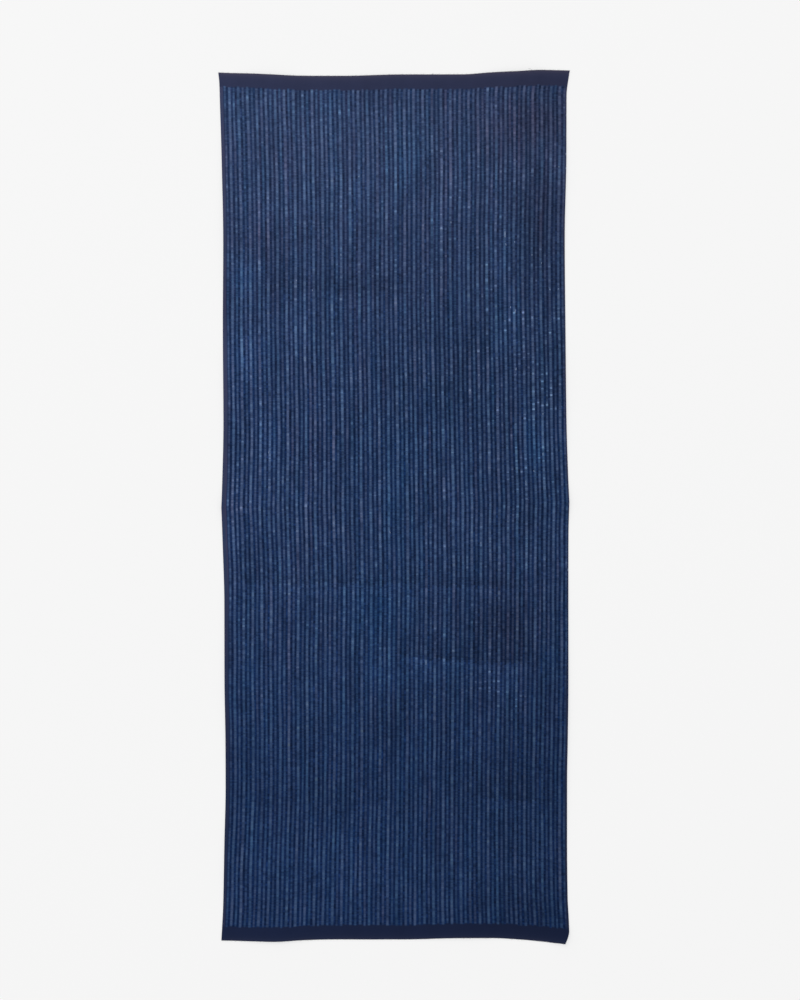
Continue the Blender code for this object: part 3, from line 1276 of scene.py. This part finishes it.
def build_threads():
    draw = random.Random(FRINGE_SEED)
    spinner = ThreadSpinner(THREAD_SIDES)
    spin_fringe(spinner, draw)
    spin_slipped_wefts(spinner, draw)
    spin_loose_threads(spinner)
    return add_object("towel_threads", spinner.mesh("towel_threads", dyed_thread()))


def spin_slub(spinner, draw, place, half_width, half_length):
    """A lump of fibres on the yarn, tapered to both ends and slightly askew."""
    across, along, height = place
    askew = draw.uniform(-SLUB_ASKEW, SLUB_ASKEW) * half_length
    places = []
    radii = []
    for share, fullness in SLUB_PROFILE:
        places.append((across + askew * share, along + half_length * share, height))
        radii.append(half_width * fullness * draw.uniform(*SLUB_UNEVENNESS))
    spinner.spin(places, radii)


def build_slubs():
    draw = random.Random(SLUB_SEED)
    spinner = ThreadSpinner(SLUB_SIDES)
    for slub in SLUBS:
        height = cloth_top(slub.across, slub.along) - slub.half_width * SLUB_SINK
        spin_slub(spinner, draw, (slub.across, slub.along, height), slub.half_width, slub.half_length)
    for knot in KNOTS:
        across = RIGHT_EDGE(knot.along) - KNOT_INSET
        height = cloth_top(across, knot.along) - knot.half_width * KNOT_SINK
        spin_slub(spinner, draw, (across, knot.along, height), knot.half_width, knot.half_length)
    return add_object("towel_slubs", spinner.mesh("towel_slubs", pale_cotton()))


def build_floor():
    mesh = bpy.data.meshes.new("floor")
    reach = FLOOR_REACH_M
    corners = [(-reach, -reach), (reach, -reach), (reach, reach), (-reach, reach)]
    mesh.from_pydata([(x, y, -FLOOR_DROP_M) for x, y in corners], [], [(0, 1, 2, 3)])
    recipe = Recipe("pale_floor")
    recipe.set_shader(FLOOR_FINISH)
    mesh.materials.append(recipe.material)
    floor = add_object("floor", mesh)
    return floor


def light_scene():
    world = bpy.data.worlds.new("studio")
    world.use_nodes = True
    background = world.node_tree.nodes["Background"]
    background.inputs["Color"].default_value = (1.0, 1.0, 1.0, 1.0)
    background.inputs["Strength"].default_value = SKY_STRENGTH
    bpy.context.scene.world = world
    light = bpy.data.lights.new("key", "AREA")
    light.shape = "SQUARE"
    light.size = KEY_SIZE_M
    light.energy = KEY_WATTS
    lamp = add_object("key", light)
    lamp.location = KEY_PLACE_M
    lamp.rotation_euler = (-Vector(KEY_PLACE_M)).to_track_quat("-Z", "Y").to_euler()
    bpy.context.scene.view_settings.view_transform = "Standard"


def place_camera():
    data = bpy.data.cameras.new("camera")
    data.type = "PERSP"
    data.sensor_width = SENSOR_LONG_SIDE
    data.lens = SENSOR_LONG_SIDE * CAMERA_HEIGHT / (PICTURE_HEIGHT_PX * MM_PER_PX)
    camera = add_object("camera", data)
    camera.location = (VIEW_CENTRE[0] * MM, VIEW_CENTRE[1] * MM, CAMERA_HEIGHT * MM)
    bpy.context.scene.camera = camera


place_camera()
light_scene()
floor = build_floor()
cloth = build_cloth()
threads = build_threads()
slubs = build_slubs()
for piece in (cloth, threads, slubs):
    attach(piece, BODY)
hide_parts(CLOTH_NODE)
